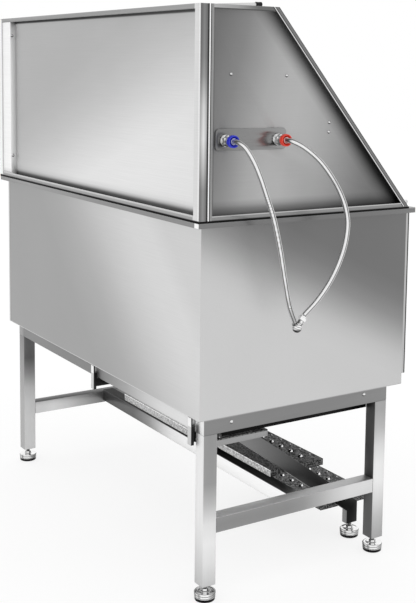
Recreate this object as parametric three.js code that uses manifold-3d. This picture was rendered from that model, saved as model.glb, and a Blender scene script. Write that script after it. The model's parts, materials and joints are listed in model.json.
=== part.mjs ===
// Stainless steel grooming tub for dogs, with splash walls, a lifting front door,
// a mixer with two supply hoses and a removable set of steps kept under the basin.
// Millimetres, +Z up. The front (door) faces -Y and the plumbing end faces -X.
// The origin is on the floor, under the middle of the tub.
import * as THREE from 'three';
import { mergeVertices } from 'three/addons/utils/BufferGeometryUtils.js';
import Module from 'manifold-3d';

const wasm = await Module();
wasm.setup();

// ---- driving dimensions ----
const BODY_LENGTH = 1230;       // outside of the basin walls, along X
const BODY_WIDTH = 636;         // outside of the basin walls, along Y
const OVERHANG = 19;            // how far the rim stands out at the back and ends
const FRONT_OVERHANG = 14;      // and at the front
const GUIDE_DEPTH = 12;         // how far the door guides stand out
const FRAME_TOP = 461;          // underside of the basin
const RIM_TOP = 945;
const RIM_LIP = 14;
const WALL_BASE = 947;          // splash walls stand on the rim over a 2 mm seal line
const WALL_TOP = 1450;
const WALL_DEPTH = 22;
const BASIN_SHEET = 3;
const WALL_SHEET = 2.5;
const GAP = 0.3;                // clearance between pieces that touch
const DRAIN_X = 300;

const TUBE = 38;                // square tube of the base frame
const TUBE_WALL = 2;
const FOOT_HEIGHT = 40;
const LEG_X = { near: -591, far: 550 };            // leg centres
const LEG_Y = { rear: 283, front: -251 };
const STRETCHER_Z = { near: 191, far: 177 };       // middles of the low end stretchers
const SPINE_Z = 184;            // middle of the long stretcher
const SPINE_Y = -1;

const DOOR_LEFT = -583;         // door panel edges
const DOOR_RIGHT = 13;
const DOOR_BASE = 580.3;
const GUIDE_BASE = 490;
const GUIDE_WIDTH = 38;

const STEPS_X = -287;           // middle of the steps
const STEPS_PITCH = THREE.MathUtils.degToRad(36.25);
const STRINGER_WIDTH = 20;
const STRINGER_DEPTH = 39.5;
const STRINGER_OFFSET = 198;    // middle of a stringer from the middle of the steps
const TREAD_DEPTH = 176;
const TREAD_LIP = 18;

const INLET_Y = [257, 107];     // cold and hot inlet, 150 mm apart
const INLET_Z = 1134;
const HOSE_RADIUS = 6.5;

// ---- materials ----
const satin = (color, roughness = 0.32) =>
  new THREE.MeshStandardMaterial({ color, roughness, metalness: 1 });
const sheetSteel = satin(0xc6c8ca);
const tubeSteel = satin(0xbcbec0, 0.36);
const chrome = satin(0xe6e8ea, 0.08);
const braid = satin(0xd8dadc, 0.42);
const plastic = (color, roughness) =>
  new THREE.MeshStandardMaterial({ color, roughness, metalness: 0 });
const blackRubber = plastic(0x17181a, 0.85);
const blackPlastic = plastic(0x101113, 0.45);
const bluePlastic = plastic(0x2a35c8, 0.35);
const redPlastic = plastic(0xe03a2c, 0.35);

// ---- solids ----
// Closed mesh to manifold solid and back.
function solid(geometry) {
  const bare = geometry.clone();
  bare.deleteAttribute('normal');
  bare.deleteAttribute('uv');
  const merged = mergeVertices(bare, 1e-4);
  return new wasm.Manifold(new wasm.Mesh({
    numProp: 3,
    vertProperties: new Float32Array(merged.attributes.position.array),
    triVerts: new Uint32Array(merged.index.array),
  }));
}

function toGeometry(manifold) {
  const mesh = manifold.getMesh();
  const geometry = new THREE.BufferGeometry();
  geometry.setAttribute('position', new THREE.BufferAttribute(mesh.vertProperties, 3));
  geometry.setIndex(new THREE.BufferAttribute(mesh.triVerts, 1));
  geometry.computeVertexNormals();
  return geometry;
}

function box(x, y, z) {
  const [[x0, x1], [y0, y1], [z0, z1]] = [x, y, z];
  const geometry = new THREE.BoxGeometry(x1 - x0, y1 - y0, z1 - z0);
  return geometry.translate((x0 + x1) / 2, (y0 + y1) / 2, (z0 + z1) / 2);
}

const boxSolid = (x, y, z) => solid(box(x, y, z));

// Outline in two axes, extruded along the third: 'x' takes (y, z), 'z' takes (x, y),
// and 'y' takes (x, z).
function prism(outline, axis, from, to, holes = []) {
  const shape = new THREE.Shape(outline.map(([u, v]) => new THREE.Vector2(u, v)));
  shape.holes = holes;
  const geometry = new THREE.ExtrudeGeometry(shape, {
    depth: to - from, bevelEnabled: false, curveSegments: 8,
  });
  geometry.translate(0, 0, from);
  if (axis === 'x') geometry.applyMatrix4(AXES_YZX);
  if (axis === 'y') geometry.applyMatrix4(AXES_XZY);
  return geometry;
}

const basis = (x, y, z) => new THREE.Matrix4().makeBasis(
  new THREE.Vector3(...x), new THREE.Vector3(...y), new THREE.Vector3(...z));
const AXES_YZX = basis([0, 1, 0], [0, 0, 1], [1, 0, 0]);
const AXES_XZY = basis([1, 0, 0], [0, 0, 1], [0, -1, 0]);

// Round bar from one point to another.
function bar(from, to, radius, sides = 24) {
  const a = new THREE.Vector3(...from);
  const b = new THREE.Vector3(...to);
  const geometry = new THREE.CylinderGeometry(radius, radius, a.distanceTo(b), sides);
  const turn = new THREE.Quaternion().setFromUnitVectors(
    new THREE.Vector3(0, 1, 0), b.clone().sub(a).normalize());
  geometry.applyQuaternion(turn);
  return geometry.translate(...a.add(b).multiplyScalar(0.5));
}

// Profile of [radius, height] pairs turned about +Z.
function turned(profile, sides = 32) {
  const points = profile.map(([r, h]) => new THREE.Vector2(r, h));
  return new THREE.LatheGeometry(points, sides).rotateX(Math.PI / 2);
}

// Four-sided outline with each edge moved in by its own distance.
function inset(outline, distances) {
  const count = outline.length;
  const edges = outline.map((p, i) => {
    const q = outline[(i + 1) % count];
    const length = Math.hypot(q[0] - p[0], q[1] - p[1]);
    const normal = [-(q[1] - p[1]) / length, (q[0] - p[0]) / length];
    return { normal, offset: normal[0] * p[0] + normal[1] * p[1] + distances[i] };
  });
  return edges.map((edge, i) => {
    const before = edges[(i + count - 1) % count];
    const [a, b] = before.normal;
    const [c, d] = edge.normal;
    const det = a * d - b * c;
    return [
      (before.offset * d - b * edge.offset) / det,
      (a * edge.offset - before.offset * c) / det,
    ];
  });
}

const group = new THREE.Group();
group.name = 'grooming_tub';

function add(name, geometry, material, parent = group) {
  const mesh = new THREE.Mesh(geometry, material.clone());
  mesh.name = name;
  parent.add(mesh);
  return mesh;
}

// ---- basin ----
function basinGeometry() {
  const x = BODY_LENGTH / 2;
  const y = BODY_WIDTH / 2;
  const t = BASIN_SHEET;
  const shell = boxSolid([-x, x], [-y, y], [FRAME_TOP + GAP, RIM_TOP]).subtract(
    boxSolid([-x + t, x - t], [-y + t, y - t], [FRAME_TOP + GAP + t, RIM_TOP + 1]));

  // Turned-down rim all round, open underneath.
  const rx = x + OVERHANG;
  const ry = y + OVERHANG;
  const front = -y - FRONT_OVERHANG;
  const rim = boxSolid([-rx, rx], [front, ry], [RIM_TOP - RIM_LIP, RIM_TOP])
    .subtract(boxSolid([-rx + t, rx - t], [front + t, ry - t], [RIM_TOP - RIM_LIP - 1, RIM_TOP - t]))
    .subtract(boxSolid([-x + 1, x - 1], [-y + 1, y - 1], [RIM_TOP - 10, RIM_TOP + 1]));

  // Ledges that carry the floor grates.
  const ledge = (side) => boxSolid(
    [-x + 1, x - 1], side > 0 ? [y - 18, y - 1] : [-y + 1, -y + 18], [583, 588]);

  // Doorway, and the rim left out between the door guides.
  const doorway = boxSolid([-570, 0], [-y - 5, -y + 5], [610, RIM_TOP + 1]);
  const rimGap = boxSolid(
    [DOOR_LEFT - 30 - GAP, DOOR_RIGHT + 30 + GAP], [front - 1, -y], [900, RIM_TOP + 1]);
  const drainHole = solid(bar([DRAIN_X, 0, 455], [DRAIN_X, 0, 470], 40, 32));

  return toGeometry(shell.add(rim).add(ledge(1)).add(ledge(-1))
    .subtract(doorway).subtract(rimGap).subtract(drainHole));
}

function addBasin() {
  add('basin', basinGeometry(), sheetSteel);

  const body = [
    [20, 425], [24, 425], [24, 444], [39.5, 457], [39.5, 464.6], [46, 464.6], [46, 466.8],
    [37, 466.8], [37, 462], [33, 462], [33, 458], [20, 446], [20, 425],
  ];
  add('drain_body', turned(body), chrome).position.set(DRAIN_X, 0, 0);

  // Lift-out strainer: a disc with six holes and a small knob.
  const disc = [[0, 462.3], [36.6, 462.3], [36.6, 464.8], [7, 464.8], [7, 471], [0, 471]];
  let strainer = solid(turned(disc));
  for (let i = 0; i < 6; i++) {
    const a = i * Math.PI / 3;
    const [hx, hy] = [24 * Math.cos(a), 24 * Math.sin(a)];
    strainer = strainer.subtract(solid(bar([hx, hy, 460], [hx, hy, 470], 6, 12)));
  }
  add('drain_strainer', toGeometry(strainer), chrome).position.set(DRAIN_X, 0, 0);
}

function addGrates() {
  const half = BODY_WIDTH / 2 - BASIN_SHEET - 3;
  const top = 603.3;
  for (const [name, x0, x1] of [['floor_grate_near', -609, -2], ['floor_grate_far', 2, 609]]) {
    let grate = boxSolid([x0, x1], [-half, half], [588.3, top]).subtract(
      boxSolid([x0 + 2.5, x1 - 2.5], [-half + 2.5, half - 2.5], [588, top - 2.5]));
    const middle = (x0 + x1) / 2;
    for (const y of [-240, 240]) {
      grate = grate.subtract(boxSolid([middle - 45, middle + 45], [y - 14, y + 14], [590, 610]));
    }
    add(name, toGeometry(grate), sheetSteel);
  }
}

// ---- splash walls ----
// Pan of folded sheet: a panel inside, edges folded outward and returned as a narrow frame.
function addRearWall() {
  const x = BODY_LENGTH / 2 + OVERHANG;
  const yOut = BODY_WIDTH / 2 + OVERHANG;
  const yIn = yOut - WALL_DEPTH;
  const t = WALL_SHEET;
  const wall = boxSolid([-x, x], [yIn, yOut], [WALL_BASE, WALL_TOP])
    .subtract(boxSolid([-x + t, x - t], [yIn + t, yOut - t], [WALL_BASE + t, WALL_TOP - t]))
    .subtract(boxSolid([-x + 26, x - 26], [yOut - t - 1, yOut + 1], [WALL_BASE + 13, WALL_TOP - 12]));
  add('rear_splash_wall', toGeometry(wall), sheetSteel);
}

function addEndWall(name, side, holes) {
  const xOut = side * (BODY_LENGTH / 2 + OVERHANG);
  const xIn = xOut - side * WALL_DEPTH;
  const t = WALL_SHEET * side;
  const rearY = BODY_WIDTH / 2 + OVERHANG - WALL_DEPTH - GAP;
  // Bottom, front slope, top and rear edge, anticlockwise in Y and Z.
  const outline = [[-308, WALL_BASE], [rearY, WALL_BASE], [rearY, WALL_TOP], [119, WALL_TOP]];
  const span = (a, b) => [Math.min(a, b), Math.max(a, b)];
  const slab = (points, a, b) => solid(prism(points, 'x', ...span(a, b)));
  let wall = slab(outline, xIn, xOut)
    .subtract(slab(inset(outline, [2.5, 2.5, 2.5, 2.5]), xIn + t, xOut - t))
    .subtract(slab(inset(outline, [12, 14, 11, 13]), xOut - t - side, xOut + side));
  for (const y of holes) {
    wall = wall.subtract(solid(bar([xIn - side * 5, y, INLET_Z], [xIn + side * 5, y, INLET_Z], 13)));
  }
  add(name, toGeometry(wall), sheetSteel);
}

// ---- base frame ----
function squareTube(length) {
  const h = TUBE / 2;
  const i = h - TUBE_WALL;
  const square = (r) => [[-r, -r], [r, -r], [r, r], [-r, r]];
  const hole = new THREE.Path(square(i).map(([u, v]) => new THREE.Vector2(u, v)));
  return prism(square(h), 'z', -length / 2, length / 2, [hole]);
}

function legGeometry() {
  const h = TUBE / 2;
  const i = h - TUBE_WALL;
  const length = FRAME_TOP - TUBE - GAP - FOOT_HEIGHT;
  return toGeometry(boxSolid([-h, h], [-h, h], [0, length]).subtract(
    boxSolid([-i, i], [-i, i], [3, length + 1])));
}

function addFrame() {
  const railZ = FRAME_TOP - TUBE / 2;
  const depth = LEG_Y.rear - LEG_Y.front;
  const middleY = (LEG_Y.rear + LEG_Y.front) / 2;
  const insideLength = LEG_X.far - LEG_X.near - TUBE - 2 * GAP;

  for (const [end, side] of [['near', -1], ['far', 1]]) {
    const legX = LEG_X[end];
    for (const row of ['rear', 'front']) {
      add(`leg_${row}_${end}`, legGeometry(), tubeSteel).position.set(legX, LEG_Y[row], FOOT_HEIGHT);
      addFoot(`${row}_${end}`, legX, LEG_Y[row]);
    }

    // Top rail, closed at the back, with a thin skirt plate welded inside it.
    const h = TUBE / 2;
    const i = h - TUBE_WALL;
    const rail = boxSolid([legX - h, legX + h], [LEG_Y.front - h, LEG_Y.rear + h], [railZ - h, railZ + h])
      .subtract(boxSolid([legX - i, legX + i], [LEG_Y.front - h - 1, LEG_Y.rear + i], [railZ - i, railZ + i]));
    const inner = legX - side * TUBE / 2;
    const plateX = side > 0 ? [inner - 1.4, inner + 0.5] : [inner - 0.5, inner + 1.4];
    const skirt = boxSolid(plateX, [LEG_Y.front + TUBE / 2 + GAP, 228], [399, FRAME_TOP]);
    add(`end_rail_${end}`, toGeometry(rail.add(skirt)), tubeSteel);

    const stretcher = add(`end_stretcher_${end}`,
      squareTube(depth - TUBE - 2 * GAP).rotateX(Math.PI / 2), tubeSteel);
    stretcher.position.set(legX, middleY, STRETCHER_Z[end]);
  }

  for (const [name, y, z] of [
    ['rear_rail', LEG_Y.rear, railZ],
    ['front_rail', LEG_Y.front, railZ],
    ['long_stretcher', SPINE_Y, SPINE_Z],
  ]) {
    add(name, squareTube(insideLength).rotateY(Math.PI / 2), tubeSteel)
      .position.set((LEG_X.near + LEG_X.far) / 2, y, z);
  }
}

// Levelling foot: ribbed cup on a threaded stem, over a rubber pad.
function addFoot(name, x, y) {
  const cup = [
    [0, 5.3], [25.6, 5.3], [26.2, 7], [26.2, 9.4], [25.4, 10.2], [25.4, 11.4], [26.6, 12.4],
    [26.6, 15.4], [25.8, 16.2], [25.8, 17.4], [27, 18.4], [27, 21], [25.6, 22.6], [11, 22],
    [8, 23.5], [8, 31], [6, 31], [6, FOOT_HEIGHT - GAP], [0, FOOT_HEIGHT - GAP],
  ];
  const pad = [[0, 0], [23.5, 0], [25.4, 1.6], [25.4, 5], [0, 5]];
  add(`foot_cup_${name}`, turned(cup, 28), chrome).position.set(x, y, 0);
  add(`foot_pad_${name}`, turned(pad, 28), blackRubber).position.set(x, y, 0);
}

// ---- steps ----
const STRINGER_TOP = 353.7;
const POST_REAR = -237;
const POST_FRONT = -274;
const POST_BEND = 78;

function stringerGeometry() {
  const slope = Math.tan(STEPS_PITCH);
  const rise = STRINGER_DEPTH / Math.cos(STEPS_PITCH);
  const rearTop = POST_REAR + (STRINGER_TOP - POST_BEND) / slope;
  const frontBend = POST_BEND + rise - (POST_REAR - POST_FRONT) * slope;
  // Anticlockwise in Y and Z: post foot, slope underside, cut top, upper side.
  const outline = [
    [POST_FRONT, FOOT_HEIGHT], [POST_REAR, FOOT_HEIGHT], [POST_REAR, POST_BEND],
    [rearTop, STRINGER_TOP], [rearTop - rise / slope, STRINGER_TOP], [POST_FRONT, frontBend],
  ];
  const w = STRINGER_WIDTH / 2;
  const hollow = inset(outline, [3, 2, 2, -1, 2, 2]);
  return toGeometry(solid(prism(outline, 'x', -w, w)).subtract(
    solid(prism(hollow, 'x', -w + 2, w - 2))));
}

function addTread(name, rearY, top, halfWidth) {
  const x = [STEPS_X - halfWidth, STEPS_X + halfWidth];
  const y = [rearY - TREAD_DEPTH, rearY];
  const t = 2.5;
  const tread = boxSolid(x, y, [top - TREAD_LIP, top]).subtract(boxSolid(
    [x[0] + t, x[1] - t], [y[0] + t, y[1] - t], [top - TREAD_LIP - 1, top - t]));
  add(name, toGeometry(tread), sheetSteel);
}

function addSteps() {
  for (const [end, side] of [['near', -1], ['far', 1]]) {
    const x = STEPS_X + side * STRINGER_OFFSET;
    add(`steps_stringer_${end}`, stringerGeometry(), tubeSteel).position.x = x;
    addFoot(`steps_${end}`, x, (POST_REAR + POST_FRONT) / 2);

    // Hook under the rear rail: an arm with a finger that stands behind the rail.
    const hook = [
      [231.3, 397], [305, 397], [305, 389], [314, 389], [314, 458], [309.5, 458],
      [309.5, 437], [303, 437], [303, 420], [231.3, 420],
    ];
    add(`steps_hook_${end}`, prism(hook, 'x', -8.5, 8.5), tubeSteel)
      .position.x = STEPS_X + side * 274;
  }

  const inner = STRINGER_OFFSET - STRINGER_WIDTH / 2 - GAP;
  addTread('steps_tread_top', 231, 372, 235);
  addTread('steps_tread_middle', 11, 237, inner);
  addTread('steps_tread_bottom', -161, 106, inner);

  // Hook bar: deep behind the top tread, narrow out to the hooks.
  const outline = [
    [-235, 372.3], [235, 372.3], [235, 394], [282.5, 394], [282.5, 420], [-282.5, 420],
    [-282.5, 394], [-235, 394],
  ];
  add('steps_hook_bar', prism(outline, 'y', -231, -226), tubeSteel).position.x = STEPS_X;
}

// ---- front door ----
function addDoor() {
  const front = -BODY_WIDTH / 2 - GAP;       // outside of the basin's front wall
  const lip = -BODY_WIDTH / 2 - GUIDE_DEPTH; // outside of the guides
  const t = 2.5;

  // U channels, open towards the door.
  const channel = [
    [0, front], [0, lip], [GUIDE_WIDTH, lip], [GUIDE_WIDTH, lip + t], [t, lip + t],
    [t, front - t], [GUIDE_WIDTH - 10, front - t], [GUIDE_WIDTH - 10, front],
  ];
  const mirrored = channel.map(([x, y]) => [-x, y]).reverse();
  add('door_guide_left', prism(channel, 'z', GUIDE_BASE, RIM_TOP), sheetSteel)
    .position.x = DOOR_LEFT - 30;
  add('door_guide_right', prism(mirrored, 'z', GUIDE_BASE, RIM_TOP), sheetSteel)
    .position.x = DOOR_RIGHT + 30;

  const sill = [
    [front, 577], [front, 580], [lip + t, 580], [lip + t, 592], [lip, 592], [lip, 577],
  ];
  add('door_sill', prism(sill, 'x', DOOR_LEFT + 8 + GAP, DOOR_RIGHT - 8 - GAP), sheetSteel);

  // Door panel: folded edges towards the basin, a cut-out for the recessed pull.
  const y = [-327, -321.4];
  const z = [DOOR_BASE, RIM_TOP - 1];
  const x = [DOOR_LEFT, DOOR_RIGHT];
  const middle = (DOOR_LEFT + DOOR_RIGHT) / 2;
  const panel = boxSolid(x, y, z)
    .subtract(boxSolid([x[0] + t, x[1] - t], [y[0] + t, y[1] + 1], [z[0] + t, z[1] - t]))
    .subtract(boxSolid([middle - 60, middle + 60], [y[0] - 1, y[0] + t + 1], [842, 898]));
  add('door_panel', toGeometry(panel), sheetSteel);

  // Recessed pull: a shallow cup with a flange on the face of the door.
  const cup = boxSolid([middle - 66, middle + 66], [-328.8, -327.3], [836, 904])
    .add(boxSolid([middle - 59, middle + 59], [-327.6, -321.6], [843, 897]))
    .subtract(boxSolid([middle - 57, middle + 57], [-329, -323.2], [845, 895]));
  add('door_pull', toGeometry(cup), sheetSteel);
}

// ---- plumbing ----
const PANEL_X = -(BODY_LENGTH / 2 + OVERHANG - WALL_DEPTH);   // inside face of the end panel
const PLATE_X = PANEL_X - WALL_SHEET - GAP;                   // backing plate lies on the panel
const NUT_START = PLATE_X - 31.2;

function addPlumbing() {
  const middleY = (INLET_Y[0] + INLET_Y[1]) / 2;
  const plate = new THREE.Shape();
  const [w, h, r] = [101, 26, 10];
  plate.moveTo(-w + r, -h);
  plate.absarc(w - r, -h + r, r, -Math.PI / 2, 0);
  plate.absarc(w - r, h - r, r, 0, Math.PI / 2);
  plate.absarc(-w + r, h - r, r, Math.PI / 2, Math.PI);
  plate.absarc(-w + r, -h + r, r, Math.PI, Math.PI * 1.5);
  for (const y of INLET_Y) {
    plate.holes.push(new THREE.Path().absarc(y - middleY, 0, 13, 0, 2 * Math.PI, true));
  }
  const flat = new THREE.ExtrudeGeometry(plate, { depth: 2, bevelEnabled: false, curveSegments: 6 });
  add('plumbing_plate', flat.applyMatrix4(AXES_YZX), sheetSteel)
    .position.set(PLATE_X - 2, middleY, INLET_Z + 2);

  addMixer(middleY);
  const names = ['cold', 'hot'];
  INLET_Y.forEach((y, i) => {
    addInlet(names[i], y, i === 0 ? bluePlastic : redPlastic);
    addHandle(names[i], y);
  });
}

// Barrel along the wall with two shanks through it, two valve bonnets and a hose outlet.
function addMixer(middleY) {
  const x = PANEL_X + 42;
  const z = INLET_Z;
  let mixer = solid(bar([x, middleY - 100, z], [x, middleY + 100, z], 19, 28))
    .add(solid(bar([x, middleY, z], [x, middleY, z - 42], 10)))
    .add(solid(bar([x, middleY, z - 26], [x, middleY, z - 36], 13, 6)));
  for (const y of INLET_Y) {
    mixer = mixer.add(solid(bar([x, y, z], [PLATE_X - 2, y, z], 10.5)))
      .add(solid(bar([x - 26, y, z], [PANEL_X + GAP, y, z], 17, 6)))
      .add(solid(bar([x, y, z], [x + 30, y, z], 13)));
  }
  add('mixer_body', toGeometry(mixer), chrome);
}

// Wall connector (washer, hexagon, neck) and the coloured nut of the supply hose.
function addInlet(name, y, nutMaterial) {
  const x = PLATE_X - 2 - GAP;
  const connector = solid(bar([x, y, INLET_Z], [x - 3, y, INLET_Z], 15))
    .add(solid(bar([x - 2, y, INLET_Z], [x - 16, y, INLET_Z], 13.5, 6)))
    .add(solid(bar([x - 15, y, INLET_Z], [NUT_START + GAP, y, INLET_Z], 11.5)));
  add(`inlet_${name}`, toGeometry(connector), chrome);

  const ring = [
    [8, 0], [13.8, 0], [15, 1.2], [15, 11.4], [13.8, 12.6], [12.2, 12.6], [8, 4], [8, 0],
  ];
  const nut = add(`nut_${name}`, turned(ring, 24), nutMaterial);
  nut.rotation.y = -Math.PI / 2;
  nut.position.set(NUT_START, y, INLET_Z);
}

// Lobed quarter-turn handle.
function addHandle(name, y) {
  const lobes = 6;
  const outline = Array.from({ length: 36 }, (_, i) => {
    const a = i * Math.PI / 18;
    const r = 18 + 2.5 * Math.cos(lobes * a);
    return [r * Math.cos(a), r * Math.sin(a)];
  });
  add(`handle_${name}`, prism(outline, 'x', 0, 24), chrome)
    .position.set(PANEL_X + 72 + GAP, y, INLET_Z);
}

// ---- supply hoses ----
// Each hangs from its nut in a free curve, and both meet in a small union.
const UNION = new THREE.Vector3(-697, 95, 682);
const COLD_END = [-697, 101, 696];
const HOT_END = [-697, 75, 711];
const HOSE_ROUTES = {
  cold: [
    [NUT_START - 1, INLET_Y[0], INLET_Z], [-659, 257, 1134], [-673, 254, 1132], [-687, 246, 1122],
    [-700, 232, 1094], [-708, 216, 1054], [-710, 200, 1012], [-710, 179, 958],
    [-707, 156, 880], [-703, 138, 806], [-699, 119, 736], COLD_END,
  ],
  hot: [
    [NUT_START - 1, INLET_Y[1], INLET_Z], [-660, 107, 1134], [-674, 102, 1132], [-689, 80, 1119],
    [-703, 44, 1088], [-712, 14, 1050], [-715, -12, 1010], [-717, -28, 974],
    [-717, -37, 935], [-715, -34, 888], [-712, -19, 838], [-708, 7, 788],
    [-702, 40, 744], HOT_END,
  ],
};

function addHoses() {
  for (const [name, route] of Object.entries(HOSE_ROUTES)) {
    const curve = new THREE.CatmullRomCurve3(
      route.map((p) => new THREE.Vector3(...p)), false, 'centripetal');
    const section = new THREE.Shape().absarc(0, 0, HOSE_RADIUS, 0, 2 * Math.PI);
    add(`hose_${name}`, new THREE.ExtrudeGeometry(section, {
      steps: 22, extrudePath: curve, curveSegments: 10, bevelEnabled: false,
    }), braid);
  }

  const toHot = new THREE.Vector3(...HOT_END).sub(UNION).normalize();
  const toCold = new THREE.Vector3(...COLD_END).sub(UNION).normalize();
  const along = (direction, distance) =>
    UNION.clone().addScaledVector(direction, distance).toArray();
  const ball = new THREE.SphereGeometry(12, 20, 12).rotateX(Math.PI / 2);
  const union = solid(ball.translate(...UNION.toArray()))
    .add(solid(bar(along(toCold, 0), along(toCold, 14.4), 9, 20)))
    .add(solid(bar(along(toHot, 0), along(toHot, 20), 7, 20)));
  add('hose_union', toGeometry(union), chrome);
  add('hose_nut_hot', bar(along(toHot, 20.3), along(toHot, 33.2), 10.5, 6), chrome);
}

// ---- fittings inside the splash walls ----
function addFittings() {
  // Soap tray on the plumbing wall.
  const tray = boxSolid([PANEL_X + GAP, PANEL_X + 85], [81, 241], [1262, 1292]).subtract(
    boxSolid([PANEL_X + GAP + 2, PANEL_X + 83], [83, 239], [1264, 1293]));
  add('soap_tray', toGeometry(tray), sheetSteel);

  // Sprayer holder: a wall plate and an arm that ends in an open ring.
  const [ringX, ringY] = [PANEL_X + 40, -52];
  const ring = solid(bar([ringX, ringY, 1150], [ringX, ringY, 1174], 20, 32))
    .add(boxSolid([PANEL_X + 2, ringX - 12], [ringY - 7, ringY + 7], [1152, 1172]))
    .subtract(solid(bar([ringX, ringY, 1149], [ringX, ringY, 1175], 15, 32)))
    .subtract(boxSolid([ringX, ringX + 25], [ringY - 9, ringY + 9], [1149, 1175]))
    .add(boxSolid([PANEL_X + GAP, PANEL_X + 3], [ringY - 16, ringY + 16], [1140, 1184]));
  add('sprayer_holder', toGeometry(ring), chrome);

  // Leash rod that rises from a bracket behind the top edge of the rear wall, with a black end cap.
  const rearY = BODY_WIDTH / 2 + OVERHANG - WALL_DEPTH - GAP;
  const [rodX, rootZ, tipY, tipZ] = [-540, 1446, 126, 1459.3];
  const rise = Math.atan2(tipZ - rootZ, rearY - 2 - tipY);
  const rod = solid(bar([rodX, rearY - 2, rootZ], [rodX, tipY, tipZ], 5.2))
    .add(boxSolid([rodX - 25, rodX + 25], [rearY - 5, rearY], [1400, 1449]));
  add('leash_rod', toGeometry(rod), tubeSteel);
  const cap = [[0, 0], [6.6, 0], [6.6, 4], [6, 4.6], [6, 16.4], [5, 17.5], [0, 17.5]];
  const tip = add('leash_rod_cap', turned(cap, 24), blackPlastic);
  tip.rotation.x = Math.PI / 2 - rise;
  tip.position.set(rodX, tipY - GAP, tipZ + GAP * Math.sin(rise));
}

addBasin();
addGrates();
addRearWall();
addEndWall('plumbing_end_wall', -1, INLET_Y);
addEndWall('far_end_wall', 1, []);
addFrame();
addSteps();
addDoor();
addPlumbing();
addHoses();
addFittings();

export default group;
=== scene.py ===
"""Looks of a stainless steel grooming tub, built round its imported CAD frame.

The scene is in metres with +Z up. Sizes in this script are in millimetres, which MM turns into
metres, and tones are display greys from 0 to 255.
"""
import json
import math

import bmesh
import bpy
from mathutils import Matrix, Vector


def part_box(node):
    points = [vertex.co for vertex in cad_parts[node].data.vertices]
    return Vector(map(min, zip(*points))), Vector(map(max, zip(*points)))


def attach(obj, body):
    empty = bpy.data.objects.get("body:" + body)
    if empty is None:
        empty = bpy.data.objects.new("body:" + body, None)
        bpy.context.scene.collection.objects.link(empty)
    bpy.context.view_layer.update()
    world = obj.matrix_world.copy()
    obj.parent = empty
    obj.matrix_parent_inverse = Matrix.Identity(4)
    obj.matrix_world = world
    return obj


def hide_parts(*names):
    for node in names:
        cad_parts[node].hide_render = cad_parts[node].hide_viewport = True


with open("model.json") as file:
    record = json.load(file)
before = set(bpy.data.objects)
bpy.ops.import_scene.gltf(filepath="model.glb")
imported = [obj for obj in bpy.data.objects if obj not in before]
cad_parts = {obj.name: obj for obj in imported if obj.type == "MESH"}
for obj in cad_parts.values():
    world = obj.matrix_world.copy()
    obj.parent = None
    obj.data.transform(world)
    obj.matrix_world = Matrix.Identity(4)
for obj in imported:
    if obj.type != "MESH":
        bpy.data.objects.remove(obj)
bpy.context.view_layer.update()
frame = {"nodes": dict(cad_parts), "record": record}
NODES = frame["nodes"]
MM = 0.001

# ---- camera ----
CAMERA_AT = Vector((-2.7908, 1.6211, 1.3008))
YAW, PITCH, ROLL = (math.radians(a) for a in (-33.885, -6.272, 0.919))
LENS_MM = 65.22
SHIFT = (-0.083, -0.185)


def add_camera():
    """Camera that looks along yaw and pitch, rolled about its own axis, with a shifted lens."""
    level = math.cos(PITCH)
    forward = Vector((level * math.cos(YAW), level * math.sin(YAW), math.sin(PITCH)))
    right = Vector((math.sin(YAW), -math.cos(YAW), 0))
    up = right.cross(forward)
    right, up = (math.cos(ROLL) * right + math.sin(ROLL) * up,
                 -math.sin(ROLL) * right + math.cos(ROLL) * up)
    data = bpy.data.cameras.new("camera")
    data.lens = LENS_MM
    data.sensor_width = 36
    data.shift_x, data.shift_y = SHIFT
    data.clip_start = 0.05
    data.clip_end = 60
    camera = bpy.data.objects.new("camera", data)
    bpy.context.scene.collection.objects.link(camera)
    axes = Matrix((right, up, -forward)).transposed()
    camera.matrix_world = Matrix.Translation(CAMERA_AT) @ axes.to_4x4()
    bpy.context.scene.camera = camera


add_camera()


# ---- materials ----
def lin(tone):
    """Linear value of a display tone from 0 to 255."""
    c = tone / 255
    return c / 12.92 if c <= 0.04045 else ((c + 0.055) / 1.055) ** 2.4


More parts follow.
